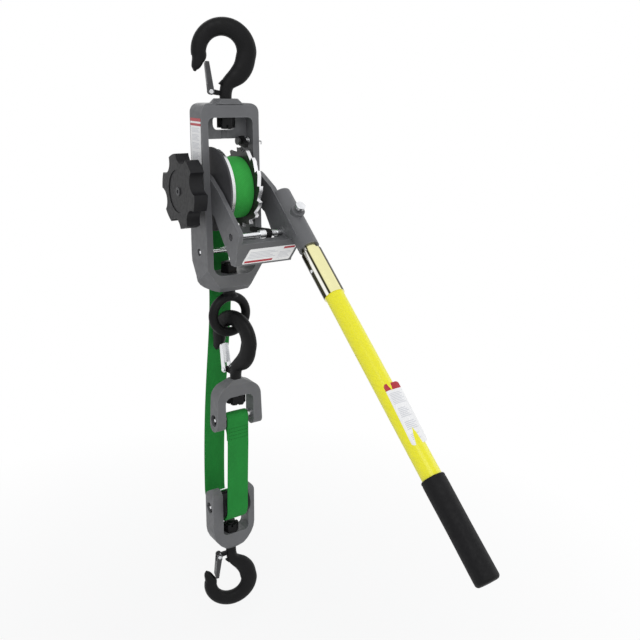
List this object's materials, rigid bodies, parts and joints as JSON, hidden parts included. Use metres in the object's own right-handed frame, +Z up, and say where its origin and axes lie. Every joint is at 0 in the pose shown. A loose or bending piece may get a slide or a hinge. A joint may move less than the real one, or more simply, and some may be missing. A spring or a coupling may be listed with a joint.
{
  "type": "come along winch",
  "caption": "Hand lever hoist with a green web strap on a ratchet drum, swivel safety hooks with latches, a return block and a long tubular handle.",
  "frame": {"origin": "the saddle of the top hook, on that hook's shank axis: the point that the hoist hangs from", "axes": "+Z up along the shank of the top hook; +X along the drum shaft from the handwheel to the handle; -Y to the side on which the handle hangs"},
  "size_m": [0.1553, 0.569, 0.9326],
  "materials": {
    "cast_grey": "painted cast steel",
    "forged_black": "black forged steel",
    "plated": "bright plated steel",
    "bronze": "bronze bushing and pin metal",
    "dark_steel": "dark painted steel",
    "ratchet_steel": "hardened steel",
    "webbing": "woven green webbing",
    "wheel_black": "moulded black",
    "chromate": "pale yellow plated",
    "tube_yellow": "glass fibre tube",
    "grip_black": "moulded rubber",
    "label_white": "printed film",
    "latch_steel": "dark grey pressed steel",
    "roller_dark": "dark roller"
  },
  "bodies": {
    "top_hook": {"top_hook": "forged_black", "top_hook_nut": "forged_black", "top_latch_pin": "plated", "top_latch_spring": "plated"},
    "top_latch": {"top_latch": "latch_steel"},
    "frame": {"frame": "cast_grey", "shaft_bushes": "bronze", "tie_rod": "plated", "side_label": "label_white", "holding_pawl_pin": "plated", "hairpin_clip": "plated", "holding_spring": "plated", "anchor_clevis": "cast_grey", "clevis_bolt": "plated", "strap_eye": "webbing", "front_strand": "webbing", "back_strand": "webbing"},
    "drum": {"drum_shaft": "plated", "spool": "plated", "drum_flange": "dark_steel", "ratchet_wheel": "ratchet_steel", "strap_roll": "webbing", "handwheel": "wheel_black", "wheel_screw": "dark_steel", "shaft_nut": "plated"},
    "lever": {"lever_yoke": "cast_grey", "crossbar_label": "label_white", "pawl_shaft": "plated", "pawl_spring": "plated", "thumb_pin": "plated", "dowel": "bronze", "ferrule": "chromate", "ferrule_pin": "plated", "handle_tube": "tube_yellow", "tube_label": "label_white", "grip": "grip_black"},
    "drive_pawl": {"drive_pawl": "forged_black"},
    "holding_pawl": {"holding_pawl": "forged_black"},
    "ring": {"ring_eye": "forged_black", "ring_eye_nut": "forged_black"},
    "anchor_hook": {"anchor_hook": "forged_black", "anchor_hook_nut": "forged_black", "anchor_latch_pin": "plated", "anchor_latch_spring": "plated"},
    "anchor_latch": {"anchor_latch": "plated"},
    "block": {"block_yoke": "cast_grey", "roller_pin": "plated", "strap_keeper": "plated", "strap_bight": "webbing"},
    "roller": {"strap_roller": "roller_dark"},
    "bottom_hook": {"bottom_hook": "forged_black", "bottom_hook_nut": "forged_black", "bottom_latch_pin": "plated", "bottom_latch_spring": "plated"},
    "bottom_latch": {"bottom_latch": "latch_steel"}
  },
  "joints": [
    {"name": "frame_swivel", "type": "hinge", "parent": "top_hook", "child": "frame", "pos_m": [0, 0, -0.082], "axis": [0, 0, 1], "continuous": true},
    {"name": "top_latch_open", "type": "hinge", "parent": "top_hook", "child": "top_latch", "pos_m": [-0.01926, 0.00701, -0.073], "axis": [0.342, 0.9397, 0], "range_deg": [0, 35], "stiffness_Nm_per_rad": 0.03, "springref_deg": -17.19},
    {"name": "drum_spin", "type": "hinge", "parent": "frame", "child": "drum", "pos_m": [0, 0, -0.2063], "axis": [1, 0, 0], "range_deg": [0, 150]},
    {"name": "lever_swing", "type": "hinge", "parent": "frame", "child": "lever", "pos_m": [0, 0, -0.2063], "axis": [-1, 0, 0], "range_deg": [-22.5, 85]},
    {"name": "drive_pawl_lift", "type": "hinge", "parent": "lever", "child": "drive_pawl", "pos_m": [0.024, -0.07179, -0.26236], "axis": [-1, 0, 0], "range_deg": [-11, 14]},
    {"name": "holding_pawl_lift", "type": "hinge", "parent": "frame", "child": "holding_pawl", "pos_m": [0.023, -0.002, -0.1403], "axis": [-1, 0, 0], "range_deg": [-25, 5]},
    {"name": "ring_swivel", "type": "hinge", "parent": "frame", "child": "ring", "pos_m": [0, -0.001, -0.3553], "axis": [0, 0, 1], "range_deg": [-8, 8]},
    {"name": "anchor_hook_swivel", "type": "hinge", "parent": "frame", "child": "anchor_hook", "pos_m": [0.003, -0.0115, -0.49379], "axis": [0, 0, 1], "range_deg": [-8, 8]},
    {"name": "anchor_latch_open", "type": "hinge", "parent": "anchor_hook", "child": "anchor_latch", "pos_m": [-0.00196, 0.00839, -0.48449], "axis": [0.9703, 0.2419, 0], "range_deg": [0, 35], "stiffness_Nm_per_rad": 0.03, "springref_deg": -17.19},
    {"name": "block_lift", "type": "slide", "parent": "frame", "child": "block", "axis": [0, 0, 1], "range_m": [0, 0.058], "deforming": ["front_strand", "back_strand"]},
    {"name": "roller_spin", "type": "hinge", "parent": "block", "child": "roller", "pos_m": [0, 0.008, -0.7153], "axis": [1, 0, 0], "range_deg": [0, 148]},
    {"name": "bottom_hook_swivel", "type": "hinge", "parent": "block", "child": "bottom_hook", "pos_m": [0, 0.008, -0.7958], "axis": [0, 0, 1], "continuous": true},
    {"name": "bottom_latch_open", "type": "hinge", "parent": "bottom_hook", "child": "bottom_latch", "pos_m": [-0.0198, 0.01331, -0.8116], "axis": [-0.2588, -0.9659, 0], "range_deg": [0, 35], "stiffness_Nm_per_rad": 0.03, "springref_deg": -17.19}
  ],
  "couplings": [
    {"joint": "block_lift", "follows": "drum_spin", "m_per_rad": 0.0219},
    {"joint": "roller_spin", "follows": "drum_spin", "ratio": 0.973}
  ]
}
